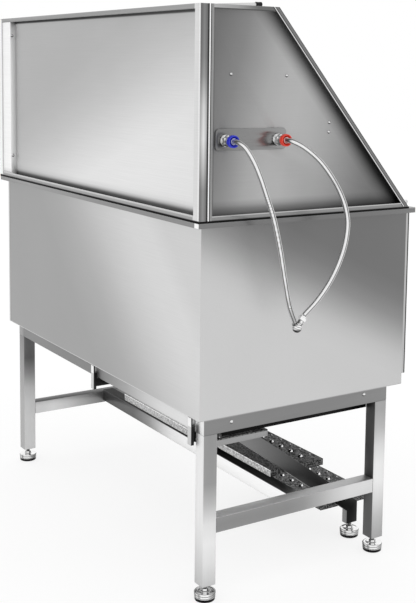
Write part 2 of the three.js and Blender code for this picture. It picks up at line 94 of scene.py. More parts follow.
class Shader:
    """A node material that is built up call by call."""

    def __init__(self, name):
        self.material = bpy.data.materials.new(name)
        self.material.use_nodes = True
        self.tree = self.material.node_tree
        self.bsdf = self.tree.nodes["Principled BSDF"]
        coordinates = self.tree.nodes.new("ShaderNodeTexCoord")
        self.object = coordinates.outputs["Object"]
        self.normal = coordinates.outputs["Normal"]
        self.uv = coordinates.outputs["UV"]

    def link(self, value, socket):
        """Feeds a socket from another node's output, or sets it to a constant."""
        if isinstance(value, bpy.types.NodeSocket):
            self.tree.links.new(value, socket)
        else:
            socket.default_value = value

    def math(self, operation, a, b=0.0, c=0.0):
        node = self.tree.nodes.new("ShaderNodeMath")
        node.operation = operation
        for value, socket in zip((a, b, c), node.inputs):
            self.link(value, socket)
        return node.outputs[0]

    def vector(self, operation, a, b=None, scale=None):
        """Vector operation; its output is a number for a dot product and a vector for the rest."""
        node = self.tree.nodes.new("ShaderNodeVectorMath")
        node.operation = operation
        self.link(a, node.inputs[0])
        if b is not None:
            self.link(b, node.inputs[1])
        if scale is not None:
            self.link(scale, node.inputs["Scale"])
        return node.outputs["Value" if operation == "DOT_PRODUCT" else "Vector"]

    def spread(self, value, low, high, to_low=0.0, to_high=1.0, smooth=False):
        """Maps low to high onto to_low to to_high, and holds the ends outside that range."""
        node = self.tree.nodes.new("ShaderNodeMapRange")
        node.interpolation_type = "SMOOTHSTEP" if smooth else "LINEAR"
        for v, socket in zip((value, low, high, to_low, to_high), node.inputs):
            self.link(v, socket)
        return node.outputs[0]

    def ramp(self, value, stops):
        """Colour ramp over (position, tone) stops, in the value's own units."""
        low, high = stops[0][0], stops[-1][0]
        node = self.tree.nodes.new("ShaderNodeValToRGB")
        node.color_ramp.interpolation = "LINEAR"
        elements = node.color_ramp.elements
        while len(elements) < len(stops):
            elements.new(0.5)
        for element, (position, tone) in zip(elements, stops):
            element.position = (position - low) / (high - low)
            element.color = (*[lin(tone)] * 3, 1)
        self.link(self.spread(value, low, high), node.inputs[0])
        return node.outputs[0]

    def along(self, direction):
        """Place along a direction, in millimetres from the frame's origin."""
        return self.vector("DOT_PRODUCT", self.object, tuple(d / MM for d in direction))

    def field(self, spec):
        """Tones from a grey, a layer, or a list of greys and layers laid over each other."""
        under = None
        for layer in spec if isinstance(spec, list) else [spec]:
            if isinstance(layer, (int, float)):
                under = (lin(layer),) * 3
            else:
                under = layer(self, under)
        return under

    def by_normal(self, x, y, z):
        """Blends one tone field for each axis that the surface can face."""
        squared = self.vector("MULTIPLY", self.normal, self.normal)
        split = self.tree.nodes.new("ShaderNodeSeparateXYZ")
        self.link(squared, split.inputs[0])
        total = None
        for spec, weight in zip((x, y, z), split.outputs):
            part = self.vector("SCALE", self.field(spec), scale=weight)
            total = part if total is None else self.vector("ADD", total, part)
        return total

    def noise(self, repeats, detail=2.0):
        """Noise with a number of repeats per metre along x, y and z, or one number for all three."""
        if not isinstance(repeats, tuple):
            repeats = (repeats,) * 3
        node = self.tree.nodes.new("ShaderNodeTexNoise")
        self.link(self.vector("MULTIPLY", self.object, repeats), node.inputs["Vector"])
        node.inputs["Scale"].default_value = 1.0
        node.inputs["Detail"].default_value = detail
        return node.outputs[0]

    def bump(self, height, strength, distance):
        """Relief from a height field; distance is its depth in metres."""
        node = self.tree.nodes.new("ShaderNodeBump")
        node.inputs["Strength"].default_value = strength
        node.inputs["Distance"].default_value = distance
        self.link(height, node.inputs["Height"])
        self.tree.links.new(node.outputs[0], self.bsdf.inputs["Normal"])

    def finish(self, color, roughness, metallic, **constants):
        """Material with this surface; constants are other sockets by name, _ standing for a space."""
        self.link(color, self.bsdf.inputs["Base Color"])
        self.link(roughness, self.bsdf.inputs["Roughness"])
        self.bsdf.inputs["Metallic"].default_value = metallic
        for name, value in constants.items():
            self.bsdf.inputs[name.replace("_", " ")].default_value = value
        return self.material


X, Y, Z = Vector((1, 0, 0)), Vector((0, 1, 0)), Vector((0, 0, 1))


def ramp(direction, *stops):
    """Layer: tones at places in millimetres along a direction, which may be longer than 1."""
    return lambda s, under: s.ramp(s.along(direction), stops)


def times(direction, *stops):
    """Layer: painted shade that darkens what is under it by a ramp of tones; 255 leaves it as it is."""
    return lambda s, under: s.vector("MULTIPLY", under, s.ramp(s.along(direction), stops))


def band(tone, *limits, soft=0.7):
    """Layer: a tone between limits, each a direction with a low and a high place along it."""
    def lay(s, under):
        inside = None
        for direction, low, high in limits:
            at = s.along(direction)
            here = s.math("MULTIPLY", s.spread(at, low - soft, low + soft, smooth=True),
                          s.spread(at, high - soft, high + soft, 1, 0, smooth=True))
            inside = here if inside is None else s.math("MULTIPLY", inside, here)
        mix = s.tree.nodes.new("ShaderNodeMix")
        mix.data_type = "RGBA"
        s.link(inside, mix.inputs["Factor"])
        s.link((*under, 1) if isinstance(under, tuple) else under, mix.inputs["A"])
        s.link((*[lin(tone)] * 3, 1), mix.inputs["B"])
        return mix.outputs["Result"]
    return lay


# Repeats per metre of the brushed grain, by the axis that it runs along.
GRAIN = {"x": (7, 900, 900), "y": (900, 7, 900), "z": (900, 900, 7)}


def steel(name, x, y, z, grain="x", roughness=0.33, speckle=0.0, glance=1.0):
    """Satin steel, brushed along one axis.

    x, y and z are the tones of faces that look along each axis: painted light and shade, which ramps
    and bands build up. speckle is the share by which coarse grit changes the tone, and glance is the
    tint of reflections at a low angle.
    """
    s = Shader(name)
    fine = s.noise(GRAIN[grain], detail=3)
    smudge = s.noise(3.5)
    tone = s.by_normal(x, y, z)
    tone = s.vector("SCALE", tone, scale=s.spread(fine, 0.3, 0.7, 0.965, 1.035))
    if speckle:
        grit = s.noise(230)
        gain = s.spread(grit, 0.4, 0.62, 1 - speckle, 1 + 1.6 * speckle)
        tone = s.vector("SCALE", tone, scale=gain)
        s.bump(grit, 0.5, 0.0006)
    else:
        s.bump(fine, 0.12, 0.0001)
    rough = s.math("ADD", s.spread(fine, 0.3, 0.7, roughness - 0.03, roughness + 0.03),
                   s.spread(smudge, 0.35, 0.65, -0.02, 0.02))
    return s.finish(tone, rough, 1.0, Specular_Tint=(glance, glance, glance, 1))


# Painted reflections: tones of a room round a plated piece, painted into its colour by how far its
# surface faces across the room, from -1 to 1.
ACROSS = (-0.557, -0.83, 0)
PAINTED_SOFTBOX_REFLECTIONS = [(-1, 70), (-0.86, 130), (-0.7, 235), (-0.5, 150), (-0.3, 255), (0.3, 255), (0.55, 205),
             (0.8, 150), (1, 70)]
PAINTED_ROOM_REFLECTIONS = [(-1, 40), (-0.9, 190), (-0.74, 60), (-0.55, 250), (-0.3, 255), (-0.2, 120), (-0.08, 250),
             (0.1, 255), (0.22, 80), (0.34, 240), (0.6, 255), (0.76, 90), (0.88, 230), (1, 60)]


def chrome(name, across=None, painted_reflections=PAINTED_ROOM_REFLECTIONS, layers=()):
    """Bright plating; painted reflections pass over its colour as the surface turns along 'across', and
    faces that turn down get painted shade.
    """
    s = Shader(name)
    smudge = s.noise(60, detail=3)
    color = s.ramp(smudge, [(0.3, 238), (0.7, 250)])
    if across:
        facing = s.vector("DOT_PRODUCT", s.normal, tuple(Vector(across).normalized()))
        color = s.vector("MULTIPLY", color, s.ramp(facing, painted_reflections))
        # Painted shade on faces that turn down.
        upward = s.vector("DOT_PRODUCT", s.normal, tuple(Z))
        color = s.vector("MULTIPLY", color, s.ramp(upward, [(-1, 40), (-0.3, 120), (0, 255), (1, 255)]))
    for layer in layers:
        color = layer(s, color)
    rough = s.spread(smudge, 0.35, 0.7, 0.09, 0.14)
    s.bump(s.noise(400), 0.04, 0.0001)
    return s.finish(color, rough, 1.0)


def moulded(name, color, roughness, shine=0.12, wear=0.15):
    """Moulded plastic or rubber: fine grain, and a colour that drifts by the share given as wear."""
    s = Shader(name)
    fine = s.noise(900)
    drift = s.noise(40, detail=3)
    worn = s.vector("SCALE", color, scale=s.spread(drift, 0.3, 0.7, 1 - wear, 1 + wear))
    rough = s.spread(fine, 0.3, 0.7, roughness - 0.05, roughness + 0.06)
    s.bump(fine, 0.25, 0.00015)
    return s.finish(worn, rough, 0.0, Specular_IOR_Level=shine)


WAVES_ROUND = 12        # waves of the braid's wires round a hose
WAVES_ALONG = 3.6       # waves of the wires in one diameter of a hose's length


def braid():
    """Woven wire braid, drawn from a tube's own u (round it) and v (diameters along it), with painted
    shade where the weave lies low and painted reflections by the angle it is seen at.
    """
    s = Shader("steel_braid")
    split = s.tree.nodes.new("ShaderNodeSeparateXYZ")
    s.link(s.uv, split.inputs[0])
    u = s.math("MULTIPLY", split.outputs[0], 2 * math.pi * WAVES_ROUND)
    v = s.math("MULTIPLY", split.outputs[1], 2 * math.pi * WAVES_ALONG)
    one = s.math("SINE", s.math("ADD", u, v))
    two = s.math("SINE", s.math("SUBTRACT", u, v))
    woven = s.math("MULTIPLY", one, two)
    fine = s.math("SINE", s.math("MULTIPLY", s.math("ADD", u, v), 5.0))
    height = s.math("MULTIPLY_ADD", fine, 0.15, woven)
    # Painted shade: darker where the wires lie low.
    tone = s.ramp(height, [(-1.1, 205), (-0.2, 242), (0.6, 255), (1.1, 255)])
    # Painted reflection by the angle the surface is seen at: a bright middle, dark lines on both sides
    # and lighter edges.
    weight = s.tree.nodes.new("ShaderNodeLayerWeight")
    weight.inputs["Blend"].default_value = 0.5
    edge = s.ramp(weight.outputs["Facing"], [
        (0, 250), (0.07, 255), (0.14, 180), (0.2, 96), (0.32, 104), (0.42, 220), (0.6, 240), (1, 200)])
    tone = s.vector("MULTIPLY", tone, edge)
    s.bump(height, 0.3, 0.0003)
    return s.finish(tone, 0.36, 0.85)


CHROME = chrome("chrome")
# Foot chrome: painted softbox reflections, with painted shade on the cup's lowest millimetres and in its
# two grooves.
CHROME_FOOT = chrome("foot_chrome", ACROSS, PAINTED_SOFTBOX_REFLECTIONS, [
    times(Z, (5, 8), (8.4, 10), (9, 255), (10.2, 255), (10.7, 120), (11.2, 255), (16.2, 255),
          (16.7, 110), (17.2, 255), (40, 255))])
# Fitting chrome: painted room reflections, with painted shade on faces that turn down.
CHROME_FITTING = chrome("fitting_chrome", (0, -0.35, 0.94))
RUBBER = moulded("black_rubber", (0.012, 0.012, 0.013), 0.62)
BLACK = moulded("black_plastic", (0.014, 0.014, 0.015), 0.4)
BLUE = moulded("blue_plastic", (0.03, 0.042, 0.58), 0.3, 0.4, wear=0.08)
RED = moulded("red_plastic", (0.82, 0.06, 0.035), 0.3, 0.4, wear=0.08)
BRAID = braid()
SEAL = moulded("seal_rubber", (0.004, 0.004, 0.004), 0.7)


# ---- mesh tools ----
def piece(name, mesh, material, body="tub", replaces=(), sharp=32):
    """Makes the mesh a named piece that rides on a body; edges over 'sharp' degrees stay crisp."""
    mesh.name = name
    mesh.polygons.foreach_set("use_smooth", [True] * len(mesh.polygons))
    mesh.set_sharp_from_angle(angle=math.radians(sharp))
    mesh.materials.clear()
    mesh.materials.append(material)
    made = bpy.data.objects.new(name, mesh)
    bpy.context.scene.collection.objects.link(made)
    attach(made, body)
    if replaces:
        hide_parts(*replaces)
    return made


def to_mesh(bm):
    """Turns bm into a mesh whose faces point out, and frees it."""
    bmesh.ops.recalc_face_normals(bm, faces=bm.faces)
    mesh = bpy.data.meshes.new("mesh")
    bm.to_mesh(mesh)
    bm.free()
    return mesh


def round_edges(bm, width):
    """Rounds every edge that turns by more than 30 degrees, by a width in millimetres."""
    edges = [e for e in bm.edges
             if len(e.link_faces) == 2 and e.calc_face_angle(0) > math.radians(30)]
    bmesh.ops.bevel(bm, geom=edges, offset=width * MM, segments=2, profile=0.5,
                    affect="EDGES", clamp_overlap=True)


def cad_copy(node):
    """The CAD solid's mesh with shared points merged and flat faces joined."""
    bm = bmesh.new()
    bm.from_mesh(NODES[node].data)
    bmesh.ops.remove_doubles(bm, verts=bm.verts, dist=2e-5)
    bmesh.ops.dissolve_limit(bm, angle_limit=math.radians(1), verts=bm.verts, edges=bm.edges)
    return bm


def body_of(node):
    """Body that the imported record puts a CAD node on."""
    return next(b for b, members in frame["record"]["behaviour"]["bodies"].items() if node in members)


def refine(node, material, width, zones=(), extra=None):
    """A CAD piece again, with rounded edges and with whatever 'extra' adds to its mesh.

    Each zone is a material and a test of a face's middle, in millimetres, and its normal.
    The first zone that passes gives the face its material.
    """
    bm = cad_copy(node)
    round_edges(bm, width)
    if extra:
        extra(bm)
    made = piece(node + "_finish", to_mesh(bm), material, body_of(node), [node])
    for other, _ in zones:
        made.data.materials.append(other)
    for face in made.data.polygons:
        middle = face.center / MM
        face.material_index = next(
            (i + 1 for i, (_, test) in enumerate(zones) if test(middle, face.normal)), 0)


def turned(bm, profile, at, axis=Z, sides=48):
    """Adds a profile of (radius, height) in millimetres, turned about an axis through a point."""
    turn = Z.rotation_difference(Vector(axis)).to_matrix()
    rings = []
    for radius, height in profile:
        if radius < 1e-6:
            rings.append([bm.verts.new(at + turn @ Z * height * MM)])
            continue
        ring = []
        for i in range(sides):
            a = 2 * math.pi * i / sides
            local = Vector((radius * math.cos(a), radius * math.sin(a), height)) * MM
            ring.append(bm.verts.new(at + turn @ local))
        rings.append(ring)
    for a, b in zip(rings, rings[1:]):
        for i in range(sides):
            j = (i + 1) % sides
            corners = [a[i % len(a)], a[j % len(a)], b[j % len(b)], b[i % len(b)]]
            corners = list(dict.fromkeys(corners))      # a ring on the axis is one point
            if len(corners) > 2:
                bm.faces.new(corners)


def block(bm, x, y, z, width):
    """Adds a box given by its ranges in millimetres, with edges rounded by a width."""
    part = bmesh.new()
    bmesh.ops.create_cube(part, size=1)
    size = Vector((x[1] - x[0], y[1] - y[0], z[1] - z[0])) * MM
    middle = Vector((x[1] + x[0], y[1] + y[0], z[1] + z[0])) * (MM / 2)
    part.transform(Matrix.Translation(middle) @ Matrix.Diagonal((*size, 1)))
    round_edges(part, width)
    join(bm, part)


def join(bm, part):
    """Moves the part's mesh into bm."""
    mesh = bpy.data.meshes.new("part")
    part.to_mesh(mesh)
    part.free()
    bm.from_mesh(mesh)
    bpy.data.meshes.remove(mesh)


def dome(bm, at, axis, radius, height, sides=20):
    """Adds a low rivet or screw head that lies on a surface."""
    turned(bm, [(radius, -0.5), (radius, height * 0.25), (radius * 0.9, height * 0.6),
                (radius * 0.65, height * 0.88), (radius * 0.3, height), (0, height)],
           at, axis, sides)


def hexagon(bm, start, direction, length, radius):
    """Adds a hexagonal nut with chamfered ends."""
    chamfer = 1.2
    face = radius - chamfer * 1.6
    turned(bm, [(0, 0), (face, 0), (radius, chamfer), (radius, length - chamfer), (face, length),
                (0, length)],
           start, direction, 6)


def dots(node, spots, material, radius=5, height=2.2, name="rivets"):
    """Low rivet or screw heads on the surface of a piece: (point in millimetres, axis)."""
    bm = bmesh.new()
    for at, axis in spots:
        dome(bm, Vector(at) * MM, axis, radius, height)
    piece(f"{node}_{name}", to_mesh(bm), material, body_of(node))


# ---- supply hoses ----
PLATE_X = -614.8                    # inner face of the plumbing plate
INLET_X = PLATE_X - 2.3             # where the inlets stand on its outer face
NUT_START = PLATE_X - 31.2          # where the coloured nuts start
INLET_Z = 1134
INLETS = {"cold": (257, BLUE, "blue_plastic"), "hot": (107, RED, "red_plastic")}
UNION = Vector((-697, 95, 682))     # middle of the fitting that joins the hoses
HOSE_RADIUS = 6.5
RELIEF = 0.3                        # height of the wires on a hose
RING_STEP = 0.8                     # distance between the rings of a hose
RING_POINTS = 60
ROUTES = {
    "cold": [(NUT_START - 1, 257, 1134), (-659, 257, 1134), (-673, 254, 1132), (-687, 246, 1122),
             (-700, 232, 1094), (-708, 216, 1054), (-710, 200, 1012), (-710, 179, 958),
             (-707, 156, 880), (-703, 138, 806), (-699, 119, 736), (-697, 101, 696)],
    "hot": [(NUT_START - 1, 107, 1134), (-660, 107, 1134), (-674, 102, 1132), (-689, 80, 1119),
            (-703, 44, 1088), (-712, 14, 1050), (-715, -12, 1010), (-717, -28, 974),
            (-717, -37, 935), (-715, -34, 888), (-712, -19, 838), (-708, 7, 788),
            (-702, 40, 744), (-697, 75, 711)],
}


def smooth_route(points):
    """Centripetal Catmull-Rom curve through the points, evenly sampled, in metres."""
    p = [Vector(q) * MM for q in points]
    p = [2 * p[0] - p[1], *p, 2 * p[-1] - p[-2]]
    dense = []
    for a, b, c, d in zip(p, p[1:], p[2:], p[3:]):
        t0 = 0.0
        t1 = t0 + (b - a).length ** 0.5
        t2 = t1 + (c - b).length ** 0.5
        t3 = t2 + (d - c).length ** 0.5
        for i in range(40):
            t = t1 + (t2 - t1) * i / 40
            a1 = a * ((t1 - t) / (t1 - t0)) + b * ((t - t0) / (t1 - t0))
            a2 = b * ((t2 - t) / (t2 - t1)) + c * ((t - t1) / (t2 - t1))
            a3 = c * ((t3 - t) / (t3 - t2)) + d * ((t - t2) / (t3 - t2))
            b1 = a1 * ((t2 - t) / (t2 - t0)) + a2 * ((t - t0) / (t2 - t0))
            b2 = a2 * ((t3 - t) / (t3 - t1)) + a3 * ((t - t1) / (t3 - t1))
            dense.append(b1 * ((t2 - t) / (t2 - t1)) + b2 * ((t - t1) / (t2 - t1)))
    dense.append(p[-2])
    even, gone = [dense[0]], 0.0
    for a, b in zip(dense, dense[1:]):
        gone += (b - a).length
        if gone >= RING_STEP * MM:
            even.append(b)
            gone = 0.0
    even[-1] = dense[-1]
    return even


def hose(name):
    """Braided tube whose wires stand out of its surface, between the pieces at its two ends."""
    path = smooth_route(ROUTES[name])
    bm = bmesh.new()
    uv = bm.loops.layers.uv.new("braid")
    side = Z
    rings, travelled = [], 0.0
    for i, at in enumerate(path):
        ahead = (path[min(i + 1, len(path) - 1)] - path[max(i - 1, 0)]).normalized()
        side = (side - ahead * side.dot(ahead)).normalized()
        other = ahead.cross(side)
        if i:
            travelled += (at - path[i - 1]).length
        v = travelled / (2 * HOSE_RADIUS * MM)
        ring = []
        for k in range(RING_POINTS):
            a = 2 * math.pi * k / RING_POINTS
            round_it, along_it = WAVES_ROUND * a, WAVES_ALONG * 2 * math.pi * v
            weave = math.sin(round_it + along_it) * math.sin(round_it - along_it)
            r = (HOSE_RADIUS - 0.35 + RELIEF * weave) * MM
            ring.append(bm.verts.new(at + side * (r * math.cos(a)) + other * (r * math.sin(a))))
        rings.append((ring, v))
    for (a, va), (b, vb) in zip(rings, rings[1:]):
        for k in range(RING_POINTS):
            n = (k + 1) % RING_POINTS
            face = bm.faces.new((a[k], a[n], b[n], b[k]))
            for loop, (cu, cv) in zip(face.loops, ((k, va), (k + 1, va), (k + 1, vb), (k, vb))):
                loop[uv].uv = (cu / RING_POINTS, cv)
    for ring, _ in (rings[0], rings[-1]):
        bm.faces.new(ring)
    made = piece(f"hose_{name}_braid", to_mesh(bm), BRAID, "tub",
                 [f"hose_{name}"], sharp=80)


def grip_ring(bm, start, direction):
    """Adds a nut's ring, open at both ends, with ribs on its outside."""
    sides, ribs, rib_height = 96, 16, 0.3
    ribbed = (3, 4)     # points of the profile that carry the ribs
    profile = [(8.1, 0), (13.6, 0), (14.4, 0.5), (14.7, 1.4), (14.7, 11.2), (14.2, 12.2), (13.2, 12.5),
               (12.3, 12.2), (11.2, 9), (9.6, 6), (8.1, 4)]
    turn = Z.rotation_difference(direction).to_matrix()
    rings = []
    for index, (radius, height) in enumerate(profile):
        ring = []
        for k in range(sides):
            a = 2 * math.pi * k / sides
            r = radius + (rib_height * math.cos(ribs * a) if index in ribbed else 0)
            local = Vector((r * math.cos(a), r * math.sin(a), height)) * MM
            ring.append(bm.verts.new(start + turn @ local))
        rings.append(ring)
    for a, b in zip(rings, rings[1:] + rings[:1]):
        for k in range(sides):
            n = (k + 1) % sides
            bm.faces.new((a[k], a[n], b[n], b[k]))


def add_inlet(name):
    """Hexagonal fitting with a ribbed tail, and the coloured nut and ferrule of its hose."""
    y, nut_material, nut_slot = INLETS[name]
    out = -X
    at = Vector((INLET_X, y, INLET_Z)) * MM
    tail = [(0, 15), (10.4, 15), (11.5, 16.2), (11.5, 18.4), (10.2, 19), (10.2, 20.4), (11.5, 21.2),
            (11.5, 24), (10.2, 24.8), (10.2, 26), (11.5, 26.8), (11.5, 28), (10.6, 28.5), (0, 28.5)]
    bm = bmesh.new()
    turned(bm, [(0, 0), (15, 0), (15, 2), (14.2, 3), (0, 3)], at, out)
    hexagon(bm, at + out * 3 * MM, out, 13, 13.5)
    turned(bm, tail, at, out)
    fitting = piece(f"inlet_{name}_fitting", to_mesh(bm), CHROME_FITTING, "tub",
                    [f"inlet_{name}"], sharp=40)

    start = Vector((NUT_START, y, INLET_Z)) * MM
    bm = bmesh.new()
    grip_ring(bm, start, out)
    nut = piece(f"nut_{name}_grip", to_mesh(bm), nut_material, "tub",
                [f"nut_{name}"], sharp=45)
    ferrule = [(6.7, 3), (7.9, 3), (7.9, 9.4), (7.4, 10), (6.7, 10)]
    bm = bmesh.new()
    turned(bm, [*ferrule, ferrule[0]], start, out, 40)
    bmesh.ops.remove_doubles(bm, verts=bm.verts, dist=1e-6)
    piece(f"nut_{name}_ferrule", to_mesh(bm), CHROME)
    return fitting, nut


def add_union():
    """Rounded elbow that takes the cold hose, with a hexagon nut for the hot one."""
    at = UNION * MM
    to_cold = (Vector(ROUTES["cold"][-1]) - UNION).normalized()
    to_hot = (Vector(ROUTES["hot"][-1]) - UNION).normalized()
    bm = bmesh.new()
    bmesh.ops.create_uvsphere(bm, u_segments=40, v_segments=24, radius=11.6 * MM,
                              matrix=Matrix.Translation(at))
    turned(bm, [(0, 0), (8.6, 4), (9, 9), (8.2, 10.4), (9, 11.4), (9, 14), (7, 14.3), (0, 14.3)],
           at, to_cold, 36)
    turned(bm, [(0, 0), (7, 6), (7, 12.4), (8.6, 13.2), (8.6, 14.6), (7, 15.4), (7, 19.8), (0, 19.8)],
           at, to_hot, 36)
    union = piece("hose_union_elbow", to_mesh(bm), CHROME_FITTING, "tub",
                  ["hose_union"], sharp=50)
    nut_at = at + to_hot * 20.3 * MM
    bm = bmesh.new()
    hexagon(bm, nut_at, to_hot, 9.6, 10.5)
    turned(bm, [(0, 9.4), (8.6, 9.5), (8.6, 12.2), (7.8, 12.9), (0, 12.9)], nut_at, to_hot, 36)
    nut = piece("hose_nut_hot_hexagon", to_mesh(bm), CHROME, "tub",
                ["hose_nut_hot"], sharp=30)
    return union, nut


def add_plumbing():
    """Inlets, the union below them, and a hose from each inlet to the union."""
    fittings = {name: add_inlet(name) for name in INLETS}
    union, union_nut = add_union()
    hose("cold")
    hose("hot")


add_plumbing()


# ---- basin ----
def add_basin():
    """Basin with its outside, its rim and the inside in steels of their own, each carrying painted light
    and shade, with painted highlight lines along the bottom edge and the rim's top.
    """
    body = steel(
        "basin_steel",
        [ramp(Y - 2.05 * Z, (-1920, 120), (-1820, 121), (-1720, 130), (-1620, 149), (-1520, 177),
              (-1470, 190), (-1420, 200), (-1370, 205), (-1300, 208)),
         band(196, (Z, 458, 463.4))],
        [ramp(X - 0.95 * Z, (-1300, 214), (-1200, 221), (-1100, 219), (-1000, 212), (-900, 203),
              (-800, 190), (-700, 179), (-600, 173), (-500, 168)),
         band(210, (X, 605, 618), soft=2), band(135, (X, 600, 604)), band(222, (Z, 458, 463.4))],
        120, roughness=0.5)
    rim = steel("rim_steel", [118, band(160, (Z, 942.8, 946))],
                [142, band(186, (Z, 942.6, 946)), band(252, (X, -640, -615), soft=1.5)], 130)
    inner = steel("basin_inside_steel",
                  [ramp(Z, (461, 120), (610, 165), (760, 205), (900, 226), (945, 232))],
                  [ramp(Z + 0.25 * X, (450, 120), (620, 168), (780, 214), (930, 200), (1080, 186))],
                  [ramp(X + 0.4 * Y, (-700, 150), (-200, 196), (250, 214), (700, 178))])
    refine("basin", body, 1.0, [
        (rim, lambda p, n: p.z > 930 and (abs(p.x) > 616 or abs(p.y) > 319)),
        (inner, lambda p, n: abs(p.x) < 613.5 and abs(p.y) < 316.5),
    ])


add_basin()


# ---- splash walls ----
POST_X = (541, 605.8)       # corner post beside the rear wall's far flange


def add_rear_wall():
    """Rear wall: its panel, the flanges round it, and a corner post held by two screws."""
    # Painted light and shade on the panel, with painted shadow along its bottom and under the top
    # flange.
    panel = steel("rear_panel_steel", 215, [
        ramp(0.38 * X + Z, (910, 233), (1000, 230), (1060, 221), (1110, 212), (1176, 200), (1252, 190),
             (1330, 184), (1400, 183)),
        times(Z, (957, 66), (962.5, 80), (966, 140), (971, 216), (978, 246), (990, 255), (1431.5, 255),
              (1433.5, 40), (1448, 24))], 205, roughness=0.5)
    # Painted light and shade on the flanges, with painted highlight and shade lines along their edges.
    flange = steel("rear_flange_steel", 200, [
        ramp(X, (-634, 214), (-609, 218), (-607.5, 158), (612, 150), (615, 248), (634, 250)),
        band(236, (X, -634, -628), soft=2), band(196, (Z, 956, 960), (X, -606, 606)),
        band(96, (Z, 946, 949.6)), band(120, (Z, 1437.6, 1439.4), (X, -606, 606))], 190)
    # Painted light and shade on the wall's edges, darker next to the panel as painted shade.
    side = steel("rear_edge_steel", [
        ramp(Z, (950, 140), (1020, 146), (1075, 195), (1140, 230), (1215, 213), (1285, 158), (1330, 140),
             (1450, 128)),
        times(Y, (315, 60), (316.6, 90), (318.4, 205), (321, 225), (326, 255), (330, 235), (334, 200),
              (337, 215))], 200, 190)
    # Faces that look along x and y painted white as painted light; faces that look up and down darker
    # near the top as painted shade under the top return.
    fold = steel("fold_steel", 255, 255, [ramp(Z, (950, 235), (1300, 235), (1400, 46), (1450, 46))])
    inside = steel("wall_inside_steel", [ramp(Z, (950, 178), (1150, 214), (1300, 226), (1450, 205))],
                   [ramp(Z - 0.3 * X, (780, 188), (1000, 222), (1200, 232), (1450, 200))], 200)
    # Painted shade at the foot of the corner post.
    post = steel("corner_post_steel", [ramp(Y, (319, 226), (322, 240), (336, 254))], [
        246, times(Z, (957, 150), (966, 235), (976, 255))], 220, roughness=0.5)

    def add_post(bm):
        block(bm, POST_X, (317.4, 336.2), (956, 1438.6), 0.6)

    refine("rear_splash_wall", fold, 0.9, [
        (post, lambda p, n: POST_X[0] - 0.5 < p.x < POST_X[1] and 317.6 < p.y < 336.4),
        (flange, lambda p, n: n.y > 0.4 and p.y > 333),
        (panel, lambda p, n: n.y > 0.5 and p.y < 320),
        (side, lambda p, n: abs(p.x) > 633),
        (inside, lambda p, n: n.y < -0.5 and p.y < 316 or p.z > 1449 or p.z < 947.8),
    ], add_post)
    dots("rear_splash_wall", [((POST_X[0], 330, z), -X) for z in (1396, 1017)],
         CHROME_FITTING, 5, 2.4, "screws")


def add_end_walls():
    """Two end walls with a sloping edge; their painted bands of light and shade run along that edge and
    the upright ones.
    """
    slope = Vector((0, 0.7624, -0.6472))    # from the sloping edge into the wall
    edge = -847.7                           # place of that edge along the slope
    # Painted light and shade on the panel, with painted shade along the sloping edge and the bottom, and
    # a thin painted shadow line near the rear flange.
    panel = steel("end_panel_steel", [
        ramp(Y + 0.27 * Z, (75, 117), (125, 129), (275, 171), (325, 179), (375, 183), (425, 181),
             (475, 173), (525, 156), (575, 138), (610, 130), (655, 118)),
        times(slope, (edge + 14, 150), (edge + 18, 162), (edge + 23, 176), (edge + 33, 212),
              (edge + 42, 236), (edge + 55, 255)),
        times(Z, (956, 140), (959, 153), (970, 186), (980, 230), (992, 255)),
        band(98, (Y, 287, 291), soft=2)], 170, 170, grain="y", roughness=0.5)
    # Painted highlight and shade lines along the flanges.
    flange = steel("end_flange_steel", [
        ramp(Y, (110, 106), (180, 112), (235, 158), (300, 178)), band(140, (Z, 900, 1300)),
        band(84, (Z, 1437.5, 1441.5)),
        band(120, (slope, edge - 3, edge + 8)), band(78, (slope, edge - 3, edge + 2)),
        band(84, (slope, edge + 8, edge + 10.2)), band(246, (slope, edge + 10.6, edge + 12.2)),
        band(60, (slope, edge + 12.6, edge + 15)),
        band(112, (Z, 946, 949.8)), band(190, (Z, 956.6, 960), (slope, edge + 14, 2000)),
        band(146, (Y, 301, 316)), band(26, (Y, 312.8, 316), soft=0.4),
        band(248, (Y, 309.4, 312.8), soft=0.4), band(44, (Y, 307.2, 309.4), soft=0.4)],
        160, 170, grain="y")
    # Painted shade on the folds, darker towards the top.
    fold = steel("end_fold_steel", 200, 72, [ramp(Z, (950, 190), (1300, 190), (1400, 50), (1450, 50))])
    inside = steel("end_inside_steel", [
        ramp(Z + 0.4 * Y, (900, 176), (1100, 208), (1300, 226), (1500, 196))], 190, 190, grain="y")
    walls = (("plumbing_end_wall", -1), ("far_end_wall", 1))
    for name, side in walls:
        refine(name, fold, 0.8, [
            (flange, lambda p, n, k=side: n.x * k > 0.4 and p.x * k > 631),
            (panel, lambda p, n, k=side: n.x * k > 0.5 and p.x * k < 617),
            (inside, lambda p, n, k=side: n.x * k < -0.5 and p.x * k < 613),
        ])
    rivets = ((241, 1290), (81, 1288), (-52, 1173), (-51, 1149))
    dots("plumbing_end_wall", [((-614.4, y, z), -X) for y, z in rivets], CHROME_FITTING, 4.2, 2.4)
    for name, side in walls:
        dots(name, [((side * 628.5, -298.9, 957.7), -slope)], CHROME_FITTING, 5, 10, "stop")


def add_seal():
    """Black seal between the rim and the three splash walls."""
    inner, outer, front, rear = 613, 634.7, -309, 316
    height = (943, 948.2)
    bm = bmesh.new()
    block(bm, (-outer, outer), (rear, 337.7), height, 0.6)
    block(bm, (-outer, -inner), (front, rear), height, 0.6)
    block(bm, (inner, outer), (front, rear), height, 0.6)
    piece("wall_seal", to_mesh(bm), SEAL)


add_rear_wall()
add_end_walls()
add_seal()


# ---- base frame ----
LEG_X = {"near": -591, "far": 550}      # middle of the legs and of the rail over them, at each end


